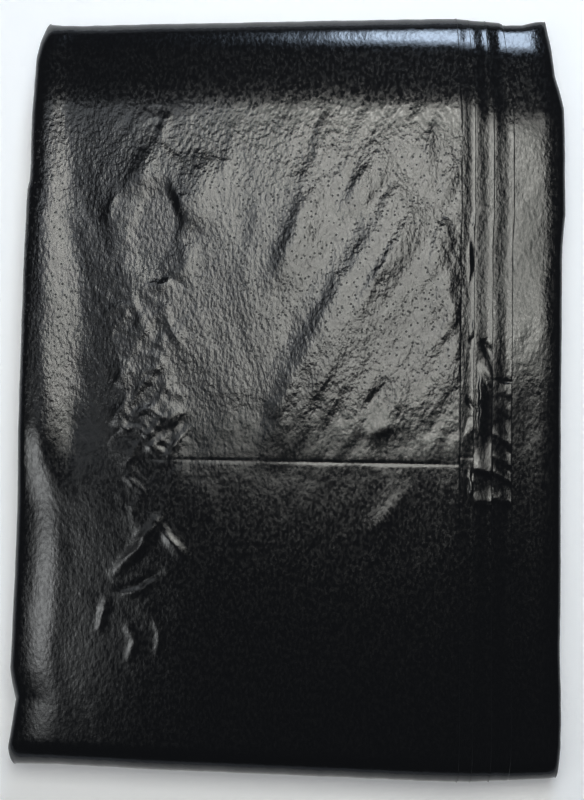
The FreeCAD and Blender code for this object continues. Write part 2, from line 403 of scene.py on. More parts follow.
COLUMN_FOLDS = (
    (0.30, 2.2, 3.0, ((169, 112), (163, 130), (157, 150))),
    (0.80, 5.5, 8.0, ((160, 140), (145, 166), (127, 196))),
    (0.35, 2.2, 2.0, ((118, 186), (112, 204), (106, 226))),
    (-1.50, 12.0, 8.0, ((163, 176), (162, 212), (156, 246), (144, 278))),
    (-0.30, 1.2, 1.2, ((157, 229), (150, 246), (142, 262))),
    (-0.26, 1.0, 1.0, ((151, 224), (144, 238), (137, 252))),
    (1.10, 11.0, 10.0, ((198, 150), (198, 188), (190, 228))),
    (-0.60, 3.4, 3.2, ((160, 200), (172, 210), (184, 228))),
    (-0.40, 2.8, 2.8, ((188, 286), (166, 276), (136, 288))),
    (0.45, 2.2, 2.2, ((168, 172), (176, 190), (185, 214))),
    (0.50, 3.0, 7.0, ((190, 186), (180, 212), (190, 240))),
    (0.40, 2.0, 3.0, ((182, 268), (162, 284), (136, 288))),
    (0.45, 3.2, 4.5, ((196, 236), (186, 258), (180, 282))),
    (0.31, 2.0, 2.6, ((126, 292), (137, 312), (150, 338))),
    (0.35, 2.2, 2.6, ((158, 300), (170, 326), (182, 352))),
    (0.27, 2.0, 2.2, ((190, 318), (176, 338), (160, 350))),
    (0.35, 2.4, 2.6, ((168, 350), (152, 368), (130, 388))),
    (0.27, 1.8, 2.4, ((124, 358), (120, 380), (128, 404))),
    (0.35, 2.2, 2.8, ((158, 376), (172, 392), (190, 400))),
    (0.31, 2.2, 2.6, ((186, 408), (170, 420), (150, 424))),
    (0.30, 1.6, 2.0, ((128, 420), (143, 411), (160, 405))),
    (0.30, 1.6, 2.0, ((146, 449), (157, 441), (168, 434))),
    (0.35, 2.6, 2.8, ((121, 400), (117, 416), (124, 434))),
    (0.60, 2.4, 3.0, ((164, 512), (142, 542), (108, 580))),
    (0.50, 2.6, 2.0, ((163, 526), (173, 544), (186, 562))),
    (-0.36, 1.5, 1.3, ((112, 590), (140, 584), (164, 570))),
    (0.36, 1.6, 1.8, ((118, 594), (142, 589), (160, 580))),
    (0.40, 1.6, 2.0, ((107, 594), (103, 612), (99, 634))),
    (0.28, 1.5, 2.2, ((124, 622), (134, 640), (128, 664))),
    (0.25, 1.5, 2.2, ((150, 612), (160, 634), (154, 660))),
)

# How far out a fold is worked out, and how soon it turns from one half width to the other, as
# shares of the half widths.
FOLD_REACH = 2.6
FOLD_TURN = 0.4


def fold_height(x, y, height, left_width, right_width, line):
    """One fold's relief at the points, tapering to its two ends."""
    px, py = np.array(line, float).T
    line_x, line_y = on_plane(px, py, HEIGHT)
    lengths = np.hypot(np.diff(line_x), np.diff(line_y))
    run = np.concatenate([[0.0], np.cumsum(lengths)])
    reach = FOLD_REACH * max(left_width, right_width)
    low_x, high_x = line_x.min() - reach, line_x.max() + reach
    low_y, high_y = line_y.min() - reach, line_y.max() + reach
    near = np.flatnonzero((x > low_x) & (x < high_x) & (y > low_y) & (y < high_y))
    best = np.full(near.size, np.inf)
    along = np.zeros(near.size)
    to_right = np.zeros(near.size)
    for k, length in enumerate(lengths):
        way_x = (line_x[k + 1] - line_x[k]) / length
        way_y = (line_y[k + 1] - line_y[k]) / length
        side = 1.0 if way_y > 0.0 or (way_y == 0.0 and way_x < 0.0) else -1.0
        dx = x[near] - line_x[k]
        dy = y[near] - line_y[k]
        t = np.clip(dx * way_x + dy * way_y, 0, length)
        away = np.hypot(dx - way_x * t, dy - way_y * t)
        closer = away < best
        best = np.where(closer, away, best)
        along = np.where(closer, run[k] + t, along)
        to_right = np.where(closer, side * (dx * way_y - dy * way_x), to_right)
    turned = smooth(to_right, -FOLD_TURN * left_width, FOLD_TURN * right_width)
    width = left_width + (right_width - left_width) * turned
    taper = np.sin(np.pi * np.clip(along / run[-1], 0.0, 1.0))
    result = np.zeros_like(x)
    result[near] = height * taper * np.exp(-((best / width) ** 2))
    return result


def wobbled(x, y, amount, cells, seeds):
    """The points moved about by smooth noise, with a seed for each direction."""
    return x + amount * noise(seeds[0], x, y, cells), y + amount * noise(seeds[1], x, y, cells)


def with_folds(relief, x, y, folds, wobble, seeds):
    """The relief and the folds on it, whose lines wobble by an amount over cells of a size."""
    line_x, line_y = wobbled(x, y, *wobble, seeds)
    return sum((fold_height(line_x, line_y, *fold) for fold in folds), relief)


# How softly the crests of the crumples turn, and how soon their flanks end.
CREST_SOFT = 0.01
FLANK_STEEP = 1.5


def ridged(seed, x, y, size, size_y):
    """Creases of crumpled film, 0 to 1, with flat flanks between sharp crests."""
    flank = np.minimum(1, FLANK_STEEP * np.abs(noise(seed, x, y, size, size_y)))
    return 1 - np.sqrt(CREST_SOFT + flank**2)


# The crumpled column: its middle, its half width, and how crumpled it is at each row of pixels.
# Its edge is ragged and soft, and it is crumpled in patches.
COLUMN_PIXELS = ((150, 90), (152, 700))
COLUMN_HALF_WIDTH = 20.0
COLUMN_ROWS = (90, 130, 270, 295, 440, 470, 530, 590, 700)
COLUMN_SHARES = (0.0, 0.3, 0.35, 1.0, 1.0, 0.45, 0.40, 0.18, 0.0)
COLUMN_RAGGED = ((7, 22, 14, 20),)
COLUMN_SOFT = (-4.0, 13.0)
COLUMN_FILLED = 0.65
COLUMN_PATCHES = ((0.35, 23, 16, 24),)


def column_mask(x, y):
    """Where the film beside the left third is crumpled."""
    top_x, top_y = on_plane(*COLUMN_PIXELS[0], HEIGHT)
    low_x, low_y = on_plane(*COLUMN_PIXELS[1], HEIGHT)
    middle = low_x + (top_x - low_x) * (y - low_y) / (top_y - low_y)
    ragged = layered(x, y, COLUMN_RAGGED)
    across = smooth(COLUMN_HALF_WIDTH + ragged - np.abs(x - middle), *COLUMN_SOFT)
    rows_y = on_plane(np.full(len(COLUMN_ROWS), COLUMN_PIXELS[0][0]), COLUMN_ROWS, HEIGHT)[1]
    along = np.interp(y, rows_y[::-1], COLUMN_SHARES[::-1])
    return across * along * (COLUMN_FILLED + layered(x, y, COLUMN_PATCHES))


# The panel's unevenness: heights, seeds and cells. Some of it runs along a lean and is stronger
# in the right half, and some is drawn out along the bundle.
LEAN = math.radians(58)
PANEL_NOISE = ((0.070, 11, 6.0, 8.5), (0.034, 12, 3.2, 4.6))
LEANT_NOISE = ((0.18, 13, 21, 5.2),)
FINE_LEANT_NOISE = ((0.045, 14, 11, 2.4),)
FINE_LEFT = 0.4
LONG_NOISE = ((0.16, 15, 9, 26),)
LONG_SHEAR = 0.3
RIGHT_HALF = (-35.0, 25.0)

# What the unevenness loses at the far end, in the near half and over the side edges below.
FAR_CALM = 0.75
FAR_CALM_Y = (108.0, 142.0)
NEAR_CALM = 0.7
NEAR_CALM_DOWN = (8.0, 45.0)
EDGE_CALM = 0.65
EDGE_CALM_REACH = 4.0

# The crumples: heights, seeds and cells of those along the lean and across it, and their bends.
CRUMPLES_ALONG = (0.60, 18, 17, 7.0)
CRUMPLES_ACROSS = (0.26, 19, 12, 5.0)
FINE_CRUMPLES = ((0.08, 25, 2.6),)
CRUMPLE_WOBBLE = (2.2, 9)
CRUMPLE_SEEDS = (16, 17)
LINE_WOBBLE = (0.8, 7)
LINE_SEEDS = (20, 21)


def leant(x, y):
    """Places along and across the lean."""
    return x * math.cos(LEAN) + y * math.sin(LEAN), -x * math.sin(LEAN) + y * math.cos(LEAN)


def uneven_relief(x, y):
    """The film's unevenness on the top panel."""
    right_half = smooth(x, *RIGHT_HALF)
    relief = layered(x, y, PANEL_NOISE)
    relief += layered(*leant(x, y), LEANT_NOISE, right_half)
    relief += layered(*leant(x, y), FINE_LEANT_NOISE, FINE_LEFT + (1 - FINE_LEFT) * right_half)
    relief += layered(x + LONG_SHEAR * y, y, LONG_NOISE)
    relief *= 1 - FAR_CALM * smooth(y, *FAR_CALM_Y)
    relief *= 1 - NEAR_CALM * smooth(-y, *NEAR_CALM_DOWN)
    edge = shown_edge(0)
    return relief * (1 - EDGE_CALM * smooth(x, edge - EDGE_CALM_REACH, edge + EDGE_CALM_REACH))


def crumple_relief(x, y):
    """Creases that cross each other, the larger ones along the lean."""
    bent_x, bent_y = wobbled(x, y, *CRUMPLE_WOBBLE, CRUMPLE_SEEDS)
    along, across = leant(bent_x, bent_y)
    height, seed, *cells = CRUMPLES_ALONG
    relief = height * ridged(seed, along, across, *cells)
    height, seed, *cells = CRUMPLES_ACROSS
    return relief + (height * ridged(seed, across, along, *cells) + layered(bent_x, bent_y, FINE_CRUMPLES))


def panel_relief(x, y):
    """The outermost film's relief on the top panel."""
    relief = uneven_relief(x, y) + column_mask(x, y) * crumple_relief(x, y)
    return with_folds(relief, x, y, MAIN_FOLDS + COLUMN_FOLDS, LINE_WOBBLE, LINE_SEEDS)


# Folds of the film on the bared strips, as above, one group for each lower sack.
STRIP_FOLDS = (
    ((0.30, 1.2, 1.2, ((474, 238), (474, 226), (475, 212))),
     (-0.55, 1.5, 1.3, ((476, 282), (475, 258), (476, 238))),
     (0.35, 0.7, 0.7, ((470, 286), (469, 260), (471, 238))),
     (0.30, 0.9, 1.3, ((474, 312), (478, 298), (480, 284))),
     (0.30, 0.9, 1.3, ((472, 334), (475, 320), (480, 306))),
     (-0.40, 1.2, 1.2, ((468, 341), (480, 335))),
     (-0.32, 0.7, 0.8, ((475, 414), (471, 405), (466, 396))),
     (0.50, 6.5, 1.5, ((479, 427), (473, 425), (467, 423))),
     (0.55, 1.2, 7.5, ((478, 494), (473, 492), (467, 491))),
     (0.24, 0.6, 0.7, ((470, 506), (470, 484), (469, 462))),
     (-0.24, 0.6, 0.6, ((473, 500), (473, 482), (473, 462)))),
    ((0.20, 0.8, 1.2, ((480, 208), (496, 205))),
     (-0.50, 1.8, 2.2, ((499, 364), (490, 352), (481, 339))),
     (0.70, 1.8, 3.2, ((497, 392), (490, 374), (481, 360))),
     (0.95, 0.6, 5.0, ((482, 442), (480, 416), (480, 390), (481, 366))),
     (0.95, 1.5, 8.5, ((507, 479), (489, 473), (470, 467))),
     (0.65, 1.1, 4.6, ((510, 507), (489, 505), (468, 502)))),
    ((-0.30, 0.6, 0.7, ((518, 381), (509, 381), (499, 380))),
     (0.22, 1.6, 4.0, ((522, 398), (509, 393), (498, 389))),
     (0.20, 2.0, 5.0, ((524, 422), (509, 412), (495, 402))),
     (0.55, 1.6, 5.0, ((526, 457), (509, 443), (492, 431))),
     (0.45, 1.6, 3.0, ((526, 474), (509, 463), (492, 454))),
     (0.60, 1.2, 3.4, ((526, 492), (508, 480), (490, 470))),
     (0.65, 1.2, 4.6, ((528, 510), (508, 504), (488, 496)))),
)

# A strip's unevenness and the wobble of its folds. Its sack's number is added to the seeds.
STRIP_NOISE = ((0.05, 50, 5.0, 14.0), (0.010, 60, 2.0, 5.0))
STRIP_WOBBLE = (0.5, 4)
STRIP_SEEDS = (70, 80)


def strip_film_relief(x, y, number):
    """A lower sack's film on its bared strip."""
    layers = [(height, seed + number, *cells) for height, seed, *cells in STRIP_NOISE]
    seeds = [seed + number for seed in STRIP_SEEDS]
    return with_folds(layered(x, y, layers), x, y, STRIP_FOLDS[number - 1], STRIP_WOBBLE, seeds)


# The unevenness of the film away from the top panel: heights, seeds and cells.
ENDS_NOISE = ((0.10, 31, 6, 18), (0.05, 32, 2.6, 9))
SIDES_NOISE = ((0.14, 33, 11, 16), (0.05, 34, 3.6, 9))
UNDER_LONG_NOISE = ((0.14, 35, 12, 30),)
UNDER_SHEAR = 0.5
UNDER_NOISE = ((0.05, 36, 6, 9),)


def wrapped_relief(x, y, z, nx, ny, nz):
    """The outer film's relief on the folds, the sides and the underside."""
    ends = layered(x, z, ENDS_NOISE)
    sides = layered(y, z, SIDES_NOISE)
    under = layered(x + UNDER_SHEAR * y, y, UNDER_LONG_NOISE) + layered(x, y, UNDER_NOISE)
    return ends * ny**2 + sides * nx**2 + under * np.clip(-nz, 0, 1)


INWARD_LIMIT = 0.36
INWARD_SOFT = 0.1


def film_relief(number, x, y, z, nx, ny, nz, top):
    """All of the film's own relief. It never goes in further than the film's thickness allows."""
    relief = wrapped_relief(x, y, z, nx, ny, nz)
    up = np.clip(nz[top], 0, 1)
    top_x, top_y = x[top], y[top]
    own = strip_film_relief(top_x, top_y, number) if number else panel_relief(top_x, top_y)
    relief[top] += up * own
    deepest = INWARD_SOFT * np.tanh((relief + INWARD_LIMIT) / INWARD_SOFT) - INWARD_LIMIT
    return np.maximum(relief, deepest)


# The crease of the earlier fold starts between these distances from the left fold. It ends just
# past the sack's side edge, and its depth varies.
CREASE_DEPTH = 0.12
CREASE_HALF_WIDTH = 0.9
CREASE_STARTS = (LEFT + 30.0, LEFT + 110.0)
CREASE_PAST_EDGE = 1.0
CREASE_STEADY = 0.8
CREASE_NOISE = ((0.5, 24, 16),)


def crease_relief(number, x, row_y):
    """The valley of the earlier fold at half length, across the uppermost panel."""
    pressed = smooth(x, *CREASE_STARTS) * (x < shown_edge(number) + CREASE_PAST_EDGE)
    shape = np.exp(-(((row_y - CREASES_Y[number]) / CREASE_HALF_WIDTH) ** 2))
    return -CREASE_DEPTH * pressed * shape * (CREASE_STEADY + layered(x, row_y, CREASE_NOISE))


# The lattice of a sack: columns round the section, rows along the length

# Steps in mm. A coarse step is divided into parts, and every stride-th of them is of level 1.
COARSE = 6.4
HIDDEN_COARSE = 12.0
NARROWEST = 2.0
STRIP_STEP = 0.45
STRIP_STRIDE = 4
STRIP_HIDDEN = 3.0
CRUMPLE_LEFT = -98.0
CRUMPLE_RIGHT = -49.0
CRUMPLE_PARTS = 7
CRUMPLE_STRIDE = 4
FOLDED_LEFT = -15.0
FOLDED_STRIDE = 3
SEEN_PARTS = 4
SEEN_STRIDE = 2
FOLD_STEPS = 16
INNER_PARTS = 20


def division(number, high, low):
    """How the top panel is divided between two coarse places: its kind, parts and stride."""
    if number and high > shown_edge(number - 1) - STRIP_HIDDEN:
        return "strip", int(math.ceil((high - low) / STRIP_STEP)), STRIP_STRIDE
    if number:
        return "hidden", 1, 1
    if low < CRUMPLE_RIGHT and high > CRUMPLE_LEFT:
        return "crumpled", CRUMPLE_PARTS, CRUMPLE_STRIDE
    if low > FOLDED_LEFT:
        return "seen", max(2, int(round(high - low))), FOLDED_STRIDE
    return "seen", SEEN_PARTS, SEEN_STRIDE


def over_stations(number):
    """x places over the top panel from the shown edge to the left fold, each with its level: 0 is
    kept on every side, 1 where the surface is medium, and 2 where it is finest."""
    edge = shown_edge(number) - HALF
    count = int((edge - NARROWEST - LEFT) / COARSE)
    coarse = [edge] + [LEFT + COARSE * k for k in range(count, -1, -1)]
    stations = []
    borders = []
    kinds = []
    for high, low in zip(coarse, coarse[1:]):
        kind, parts, stride = division(number, high, low)
        if not kinds or kind != kinds[-1]:
            borders.append(len(stations))
            kinds.append(kind)
        for i in range(parts):
            level = 0 if i == 0 else 1 if i % stride == 0 else 2
            stations.append((high + (low - high) * i / parts, level))
    borders.append(len(stations))
    return stations, borders, kinds


def fold_stations(x, z, radius, start, seen):
    """Places round a side fold, from the angle start through half a turn."""
    steps = FOLD_STEPS if seen else FOLD_STEPS // 2
    stations = []
    for i in range(steps):
        turn = math.radians(start) + math.pi * i / steps
        level = 0 if not seen or i % 2 == 0 else 1
        c, s = math.cos(turn), math.sin(turn)
        stations.append((x + radius * c, z + radius * s, c, s, level))
    return stations


def level_stations(start, end, h, nh):
    """Places along a hidden level layer, a hidden step apart."""
    count = int(round(abs(end - start) / HIDDEN_COARSE))
    return [(start + (end - start) * k / count, h, 0.0, nh, 0) for k in range(count)]


def round_edge(x, h, side, angles):
    """Stations round the film's own edge, which is on that side of it."""
    turns = [math.radians(angle) for angle in angles]
    return [(x, h, side * math.cos(turn), math.sin(turn), HALF, 0) for turn in turns]


def columns(number):
    """The stations round a sack's section as a closed loop, and the groups of columns.
    A station is x, h, its outward direction, its offset, and its level."""
    step = number * PITCH
    under = step + HALF
    inner = (2 * SACK_COUNT - 1) * PITCH - step + HALF
    over = (PANELS * SACK_COUNT - 1) * PITCH - step + HALF
    left_radius = (over - under) / 2
    right_radius = (inner - under) / 2
    seen = number == 0
    outer = []
    groups = []

    def add(kind, stations):
        groups.append((len(outer), len(outer) + len(stations), kind))
        outer.extend(stations)

    over_list, borders, kinds = over_stations(number)
    for kind, first, last in zip(kinds, borders, borders[1:]):
        add(kind, [(x, over, 0.0, 1.0, level) for x, level in over_list[first:last]])
    fold_kind = "side" if seen else "hidden"
    add(fold_kind, fold_stations(LEFT, (over + under) / 2, left_radius, 90, seen))
    add("hidden", level_stations(LEFT, RIGHT, under, -1.0))
    add(fold_kind, fold_stations(RIGHT, (inner + under) / 2, right_radius, -90, seen))
    tucked = TUCKED_EDGES[number] + HALF
    bared_end = RIGHT - 2 * HIDDEN_COARSE
    parts = INNER_PARTS if seen else 2
    add("seen" if seen else "hidden", [
        (RIGHT + (bared_end - RIGHT) * k / parts, inner, 0.0, 1.0,
         0 if k % (parts // 2) == 0 else 1 if k % 2 == 0 else 2) for k in range(parts)])
    add("hidden", level_stations(bared_end, tucked, inner, 1.0))
    last_outer = (tucked, inner, 0.0, 1.0, 0)
    outer_loop = [s[:4] + (HALF, s[4]) for s in outer + [last_outer]]
    pairs = [k for k, s in enumerate(outer_loop) if s[5] == 0]
    loop = list(outer_loop)
    turn_in = round_edge(tucked, inner, -1, (45, 0, -45))
    groups.append((len(outer), len(outer) + 1 + len(turn_in), "hidden"))
    loop += turn_in
    first_inner = len(loop)
    loop += [outer_loop[k][:4] + (-HALF, 0) for k in reversed(pairs)]
    groups.append((first_inner, len(loop) - 1, "hidden"))
    turn_out = round_edge(shown_edge(number) - HALF, over, 1, (-60, -30, 0, 30, 60))
    groups.append((len(loop) - 1, len(loop) + len(turn_out), "edge"))
    loop += turn_out
    inner_of = {k: first_inner + len(pairs) - 1 - i for i, k in enumerate(pairs)}
    return np.array(loop), groups, pairs, inner_of


FLAP_COARSE = 12.0
FLAP_MEDIUM = 2
LENGTH_FOLD_STEPS = 24
ROW_PARTS = 6
CREASE_ROWS = (-2.2, -1.4, -0.9, -0.45, 0.0, 0.45, 0.9, 1.4, 2.2)
CREASE_CLEAR = 0.4
COARSE_CLEAR = 0.25

# Distances of the first rows from a sack's sealed end, on both sides of the weld's two borders,
# and from its mouth.
WELD_STEP = 0.3
WELD_FAR = WELD_INSET + WELD_WIDTH
SEALED_ROWS = (0.0, 4.0, WELD_INSET - WELD_STEP, WELD_INSET + WELD_STEP, WELD_FAR - WELD_STEP,
               WELD_FAR + WELD_STEP, 16.0)
MOUTH_ROWS = (0.0, 6.0)
FIRST_FLAP, FIRST_FOLD, TOP, LAST_FOLD, LAST_FLAP = range(5)


def flap_rows(run, marks):
    """Distances from a flap's free end towards its fold, with their levels."""
    rows = [(d, 0) for d in marks]
    start = marks[-1]
    count = int(round((run - start) / FLAP_COARSE))
    for k in range(count):
        for i in range(FLAP_MEDIUM):
            if k or i:
                rows.append((start + (run - start) * (k + i / FLAP_MEDIUM) / count, 0 if i == 0 else 1))
    return rows


def rows(number):
    """The rows along a sack, from its sealed end to its mouth: kind, place and level."""
    result = []
    groups = []

    def add(group, kind, places):
        groups.append((len(result), len(result) + len(places), group))
        result.extend((kind, place, level) for place, level in places)

    front = flap_rows(FIRST_RUN, SEALED_ROWS)
    add("flap", FIRST_FLAP, [(1 - d / FIRST_RUN, level) for d, level in front])
    steps = LENGTH_FOLD_STEPS
    half_turn = [(math.pi * k / steps, 0 if k % 2 == 0 else 1) for k in range(steps)]
    add("fold", FIRST_FOLD, [(math.pi - angle, level) for angle, level in half_turn])
    add("top", TOP, top_rows(number))
    add("fold", LAST_FOLD, half_turn)
    back = flap_rows(LAST_RUN, MOUTH_ROWS)
    add("flap", LAST_FLAP, [(0.0, 0)] + [(1 - d / LAST_RUN, level) for d, level in reversed(back)])
    groups[-1] = (groups[-1][0], len(result) - 1, "flap")
    return result, groups


def top_rows(number):
    """The rows over the top panel, with closer ones at the crease instead of those near them."""
    run = FIRST_FOLD_Y - LAST_FOLD_Y
    count = int(round(run / COARSE))
    places = []
    for k in range(count):
        for i in range(ROW_PARTS):
            y = FIRST_FOLD_Y - run * (k + i / ROW_PARTS) / count
            places.append((y, 0 if i == 0 else 1 if i % 2 == 0 else 2))
    crease = [CREASES_Y[number] + d for d in CREASE_ROWS]
    kept = [p for p in places if p[1] == 0 or min(abs(p[0] - c) for c in crease) > CREASE_CLEAR]
    taken = [p[0] for p in kept if p[1] == 0]
    kept += [(c, 1) for c in crease if min(abs(c - y) for y in taken) > COARSE_CLEAR]
    return sorted(kept, reverse=True)


def placed(x, h, nx, nh, kind, place):
    """Takes section points to their row: position and outward direction."""
    first, last = FIRST_RADIUS + h, LAST_RADIUS + h
    sine, cosine = np.sin(place), np.cos(place)
    level = np.zeros_like(h)
    of_kinds = (
        (FIRST_FOLD_Y - place * (FIRST_RUN - math.pi * h), FIRST_FLAP_TOP - h, level, -nh),
        (FIRST_FOLD_Y + first * sine, FIRST_FOLD_Z + first * cosine, nh * sine, nh * cosine),
        (place, TOP_FLOOR + h, level, nh),
        (LAST_FOLD_Y - last * sine, LAST_FOLD_Z + last * cosine, -nh * sine, nh * cosine),
        (LAST_FOLD_Y + place * (LAST_RUN - math.pi * h), STACK - h, level, -nh),
    )
    y, z, ny, nz = (np.choose(kind, choices) for choices in zip(*of_kinds))
    return x, y, z, nx, ny, nz


# Levels of rows and columns that a patch keeps, for each group of rows and kind of columns.
PATCH_LEVELS = {
    ("flap", "seen"): (1, 1), ("flap", "crumpled"): (1, 1), ("flap", "strip"): (1, 1),
    ("flap", "side"): (1, 1), ("flap", "edge"): (1, 0),
    ("fold", "seen"): (1, 2), ("fold", "crumpled"): (1, 2), ("fold", "strip"): (1, 2),
    ("fold", "side"): (1, 2), ("fold", "edge"): (1, 0),
    ("top", "seen"): (1, 2), ("top", "crumpled"): (2, 2), ("top", "strip"): (2, 2),
    ("top", "side"): (1, 2), ("top", "edge"): (2, 0),
}


def patches(row_list, row_groups, stations, column_groups):
    """The rectangles of the lattice: the row and column numbers that each one keeps."""
    result = []
    for row_first, row_last, group in row_groups:
        for col_first, col_last, kind in column_groups:
            row_level, col_level = PATCH_LEVELS.get((group, kind), (0, 0))
            kept_rows = [r for r in range(row_first, row_last) if row_list[r][2] <= row_level]
            kept_cols = [c for c in range(col_first, col_last)
                         if stations[c % len(stations)][5] <= col_level]
            result.append((kept_rows + [row_last], kept_cols + [col_last]))
    return result


def lattice_faces(ids, patch_list):
    """Faces of every patch. Where a neighbour is finer, its points join the border's faces."""
    quads = []
    others = []
    for kept_rows, kept_cols in patch_list:
        r = np.array(kept_rows)
        c = np.array(kept_cols)
        a = ids[np.ix_(r[:-1], c[:-1])]
        b = ids[np.ix_(r[:-1], c[1:])]
        d = ids[np.ix_(r[1:], c[1:])]
        e = ids[np.ix_(r[1:], c[:-1])]
        plain = np.ones(a.shape, bool)
        plain[0, :] = plain[-1, :] = False
        plain[:, 0] = plain[:, -1] = False
        quads.append(np.stack([a[plain], b[plain], d[plain], e[plain]], axis=1))
        for i, j in np.argwhere(~plain):
            r0, r1, c0, c1 = r[i], r[i + 1], c[j], c[j + 1]
            ring = [ids[r0, k] for k in range(c0, c1)] + [ids[k, c1] for k in range(r0, r1)]
            ring += [ids[r1, k] for k in range(c1, c0, -1)] + [ids[k, c0] for k in range(r1, r0, -1)]
            others.append([v for v in ring if v >= 0])
    return np.concatenate(quads), others


def cap_faces(row_ids, pairs, inner_of, loop_length):
    """Closes the sealed end, between the outer and the inner side of the film."""
    faces = []
    for k, m in zip(pairs, pairs[1:]):
        outside = [row_ids[c] for c in range(k, m + 1) if row_ids[c] >= 0]
        faces.append(outside[::-1] + [row_ids[inner_of[k]], row_ids[inner_of[m]]])
    last = pairs[-1]
    faces.append([row_ids[c] for c in range(inner_of[last], last - 1, -1)])
    shown = [row_ids[c] for c in range(inner_of[0], loop_length)] + [row_ids[0]]
    faces.append(shown[::-1])
    return faces


POCKET_DEPTHS = (0.0, 8.0, 20.0, MOUTH_DEPTH)


def pocket(stations, pairs, inner_of, row_ids, next_id):
    """The open mouth: two plies parted over most of the width. Gives new points and faces."""
    outer_run = np.array([stations[k][:2] for k in pairs])
    steps = np.hypot(*np.diff(outer_run, axis=0).T)
    run = np.concatenate([[0.0], np.cumsum(steps)])
    inside = [i for i in range(len(pairs)) if PLY_EDGE - 1 < run[i] < run[-1] - PLY_EDGE + 1]
    points = []
    faces = []

    def point(i, depth, side):
        x, h, nx, nh = stations[pairs[i]][:4]
        points.append((x, h, nx, nh, side * MOUTH_GAP / 2, 1 - depth / LAST_RUN))
        return next_id + len(points) - 1

    upper, lower = [], []
    for depth in POCKET_DEPTHS:
        closed = depth == POCKET_DEPTHS[-1]
        up = [point(i, depth, 0 if closed or i in (inside[0], inside[-1]) else 1) for i in inside]
        low = [u if closed or i in (inside[0], inside[-1]) else point(i, depth, -1)
               for u, i in zip(up, inside)]
        upper.append(up)
        lower.append(low)
    for n in range(len(inside) - 1):
        k, m = pairs[inside[n]], pairs[inside[n + 1]]
        outside = [row_ids[c] for c in range(k, m + 1) if row_ids[c] >= 0]
        faces.append(outside + [upper[0][n + 1], upper[0][n]])
        faces.append([row_ids[inner_of[m]], row_ids[inner_of[k]], lower[0][n], lower[0][n + 1]])
        for d in range(len(POCKET_DEPTHS) - 1):
            faces.append([upper[d][n], upper[d][n + 1], upper[d + 1][n + 1], upper[d + 1][n]])
            faces.append([lower[d][n + 1], lower[d][n], lower[d + 1][n], lower[d + 1][n + 1]])
    first, last = pairs[inside[0]], pairs[inside[-1]]
    loop_length = len(stations)
    shown = [row_ids[c] for c in range(inner_of[first], loop_length) if row_ids[c] >= 0]
    shown += [row_ids[c] for c in range(0, first + 1) if row_ids[c] >= 0]
    faces.append(shown + [upper[0][0]])
    tucked = [row_ids[c] for c in range(last, inner_of[last] + 1) if row_ids[c] >= 0]
    faces.append(tucked + [upper[0][-1]])
    cleaned = []
    for face in faces:
        ring = [v for v, w in zip(face, face[1:] + face[:1]) if v != w]
        if len(ring) > 2:
            cleaned.append(ring)
    return np.array(points), cleaned


def sack_mesh(number):
    """The points and faces of one sack."""
    stations, column_groups, pairs, inner_of = columns(number)
    row_list, row_groups = rows(number)
    patch_list = patches(row_list, row_groups, stations, column_groups)
    loop = len(stations)
    used = np.zeros((len(row_list), loop + 1), bool)
    for kept_rows, kept_cols in patch_list:
        used[np.ix_(kept_rows, kept_cols)] = True
    used[:, 0] |= used[:, loop]
    used[:, loop] = False
    ids = np.full(used.shape, -1)
    ids[used] = np.arange(used.sum())
    ids[:, loop] = ids[:, 0]
    r, c = np.nonzero(used)
    kind = np.array([row[0] for row in row_list])[r]
    place = np.array([row[1] for row in row_list])[r]
    quads, others = lattice_faces(ids, patch_list)
    others += cap_faces(ids[0], pairs, inner_of, loop)
    more, more_faces = pocket(stations, pairs, inner_of, ids[-1], used.sum())
    others += more_faces
    x, h, nx, nh, offset = np.concatenate([stations[c, :5], more[:, :5]]).T
    outer = (offset > 0) & (np.arange(len(offset)) < used.sum())
    kind = np.concatenate([kind, np.full(len(more), LAST_FLAP)])
    place = np.concatenate([place, more[:, 5]])
    from_end = (1 - place) * FIRST_RUN - WELD_INSET
    in_weld = (kind == FIRST_FLAP) & (from_end > 0.0) & (from_end < WELD_WIDTH)
    offset = np.where(in_weld, offset - np.sign(offset) * WELD_DEPTH, offset)
    x = x + nx * offset
    h = h + nh * offset
    points = finished_points(number, outer, *placed(x, h, nx, nh, kind, place), kind, place)
    return points, quads, others


TOP_TURN = math.pi / 3
SHARP_ANGLE = 50.0


def finished_points(number, outer, x, y, z, nx, ny, nz, kind, place):
    """The points after the outline, the broad relief and the film's own relief."""
    new_x, new_y, new_z = warped(x, y, z)
    top = (kind == TOP) | ((kind == FIRST_FOLD) | (kind == LAST_FOLD)) & (place < TOP_TURN)
    relief = film_relief(number, new_x, new_y, new_z, nx, ny, nz, top)
    relief += (kind == TOP) * np.clip(nz, 0, 1) * crease_relief(number, x, y)
    relief *= outer
    moved = np.stack([new_x + nx * relief, new_y + ny * relief, new_z + nz * relief], axis=1)
    return moved * MM


def mesh_object(name, points, quads, others):
    mesh = bpy.data.meshes.new(name)
    sizes = np.concatenate([np.full(len(quads), 4), [len(f) for f in others]]).astype(np.int32)
    corners = np.concatenate([quads.ravel(), np.concatenate([np.array(f) for f in others])])
    starts = np.concatenate([[0], np.cumsum(sizes)[:-1]]).astype(np.int32)
    mesh.vertices.add(len(points))
    mesh.vertices.foreach_set("co", points.ravel().astype(np.float32))
    mesh.loops.add(len(corners))
    mesh.loops.foreach_set("vertex_index", corners.astype(np.int32))
    mesh.polygons.add(len(sizes))
    mesh.polygons.foreach_set("loop_start", starts)
    mesh.update(calc_edges=True)
    mesh.validate()
    mesh.polygons.foreach_set("use_smooth", np.ones(len(mesh.polygons), bool))
    mesh.set_sharp_from_angle(angle=math.radians(SHARP_ANGLE))
    thing = bpy.data.objects.new(name, mesh)
    bpy.context.scene.collection.objects.link(thing)
    return thing


# The materials

